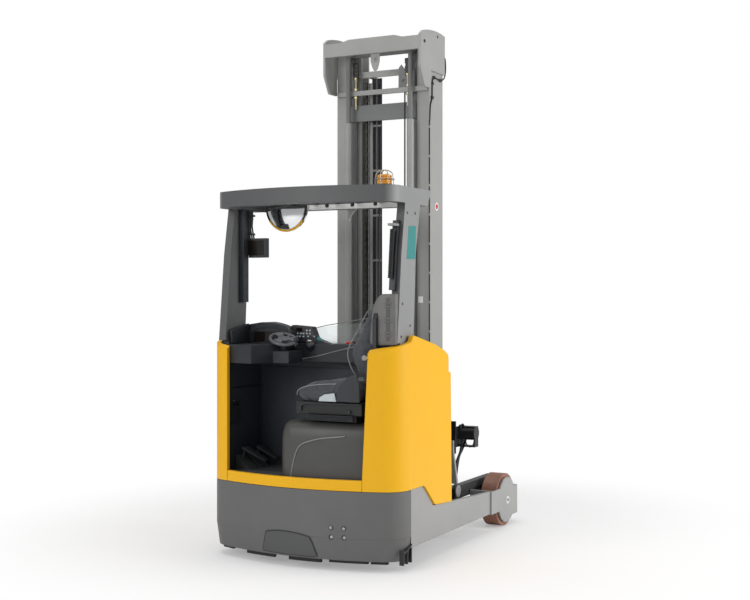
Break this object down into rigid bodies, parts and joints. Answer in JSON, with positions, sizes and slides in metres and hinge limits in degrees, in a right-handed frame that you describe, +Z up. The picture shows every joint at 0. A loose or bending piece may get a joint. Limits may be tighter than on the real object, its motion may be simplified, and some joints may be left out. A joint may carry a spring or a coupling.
{
  "type": "reach truck",
  "caption": "Reach truck with yellow side panels, grey skirt and legs, open operator's cab with overhead guard, tall telescopic mast and low forks.",
  "frame": {"origin": "middle of the whole truck's footprint, on the floor", "axes": "+X towards the fork tips, +Y to the truck's left, +Z up"},
  "size_m": [2.6729, 1.29, 3.3013],
  "materials": {
    "yellow_paint": "glossy powder coat",
    "grey_body_paint": "textured powder coat",
    "dark_grey_paint": "textured powder coat",
    "mast_paint": "satin paint",
    "black_paint": "satin paint",
    "battery_case": "satin paint",
    "motor_casting": "painted casting",
    "bare_steel": "machined",
    "chromed_rod": "polished",
    "drive_rubber": "solid tread",
    "load_tread": "polyurethane",
    "dark_plastic": "moulded",
    "grey_plastic": "moulded",
    "floor_rubber": "studded mat",
    "seat_fabric": "woven",
    "bellows_rubber": "pleated",
    "mirror_face": "convex",
    "screen_sheet": "clear polycarbonate",
    "amber_lens": "translucent"
  },
  "bodies": {
    "chassis": {"rear_skirt": "grey_body_paint", "chassis_frame": "dark_grey_paint", "battery": "battery_case", "drive_motor": "motor_casting", "reach_cylinder": "black_paint", "side_panel_left": "yellow_paint", "side_panel_right": "yellow_paint", "rear_sill": "yellow_paint", "leg_right": "grey_body_paint", "leg_left": "grey_body_paint", "reach_rails": "black_paint", "load_axles": "bare_steel", "pillar_right": "grey_body_paint", "pillar_left": "grey_body_paint", "guard_roof": "dark_grey_paint", "roof_grille": "dark_grey_paint", "cable_channel": "dark_plastic", "pillar_conduit": "dark_plastic", "cab_floor": "floor_rubber", "cab_lining": "dark_plastic", "battery_cover": "dark_grey_paint", "protective_screen": "screen_sheet", "seat_pedestal": "grey_plastic", "seat_suspension": "bellows_rubber", "seat_cushion": "seat_fabric", "seat_backrest": "seat_fabric", "seat_back_shell": "grey_plastic", "dash_console": "dark_plastic", "instrument_hood": "dark_plastic", "control_panel": "dark_plastic", "pedals": "floor_rubber", "mirror": "mirror_face", "monitor": "dark_plastic", "beacon": "amber_lens"},
    "steering_wheel": {"steering_wheel": "dark_plastic"},
    "drive_unit": {"drive_gearbox": "motor_casting"},
    "drive_wheel": {"drive_tyre": "drive_rubber", "drive_hub": "bare_steel"},
    "load_wheel_right": {"load_tyre_right": "load_tread", "load_hub_right": "bare_steel"},
    "load_wheel_left": {"load_tyre_left": "load_tread", "load_hub_left": "bare_steel"},
    "reach_carriage": {"reach_carriage": "mast_paint", "mast_outer": "mast_paint", "mast_head": "mast_paint", "lift_cylinders": "black_paint", "hose_guide": "black_paint"},
    "mast_middle": {"mast_middle": "mast_paint"},
    "mast_inner": {"mast_inner": "mast_paint"},
    "fork_carriage": {"fork_carriage": "black_paint"},
    "tilt_frame": {"tilt_frame": "black_paint"},
    "side_shifter": {"fork_bars": "black_paint", "fork_right": "black_paint", "fork_left": "black_paint"}
  },
  "joints": [
    {"name": "steering_wheel_turn", "type": "hinge", "parent": "chassis", "child": "steering_wheel", "pos_m": [-1.0535, 0.226, 1.305], "axis": [-0.2876, -0.2876, 0.9135], "continuous": true},
    {"name": "drive_steer", "type": "hinge", "parent": "chassis", "child": "drive_unit", "pos_m": [-1.0385, 0, 0.44], "axis": [0, 0, 1], "range_deg": [-90, 90]},
    {"name": "drive_wheel_roll", "type": "hinge", "parent": "drive_unit", "child": "drive_wheel", "pos_m": [-1.0385, 0, 0.1715], "axis": [0, 1, 0], "continuous": true},
    {"name": "load_wheel_right_roll", "type": "hinge", "parent": "chassis", "child": "load_wheel_right", "pos_m": [0.4515, -0.574, 0.1775], "axis": [0, 1, 0], "continuous": true},
    {"name": "load_wheel_left_roll", "type": "hinge", "parent": "chassis", "child": "load_wheel_left", "pos_m": [0.4515, 0.574, 0.1775], "axis": [0, 1, 0], "continuous": true},
    {"name": "mast_reach", "type": "slide", "parent": "chassis", "child": "reach_carriage", "axis": [1, 0, 0], "range_m": [0, 0.56]},
    {"name": "middle_lift", "type": "slide", "parent": "reach_carriage", "child": "mast_middle", "axis": [0, 0, 1], "range_m": [0, 2.35]},
    {"name": "inner_lift", "type": "slide", "parent": "mast_middle", "child": "mast_inner", "axis": [0, 0, 1], "range_m": [0, 2.35]},
    {"name": "fork_lift", "type": "slide", "parent": "mast_inner", "child": "fork_carriage", "axis": [0, 0, 1], "range_m": [0, 2.3]},
    {"name": "fork_tilt", "type": "hinge", "parent": "fork_carriage", "child": "tilt_frame", "pos_m": [0.0845, 0, 0.165], "axis": [0, 1, 0], "range_deg": [-2, 1]},
    {"name": "side_shift", "type": "slide", "parent": "tilt_frame", "child": "side_shifter", "axis": [0, 1, 0], "range_m": [-0.07, 0.07]}
  ],
  "couplings": [
    {"joint": "inner_lift", "follows": "middle_lift", "ratio": 1}
  ]
}
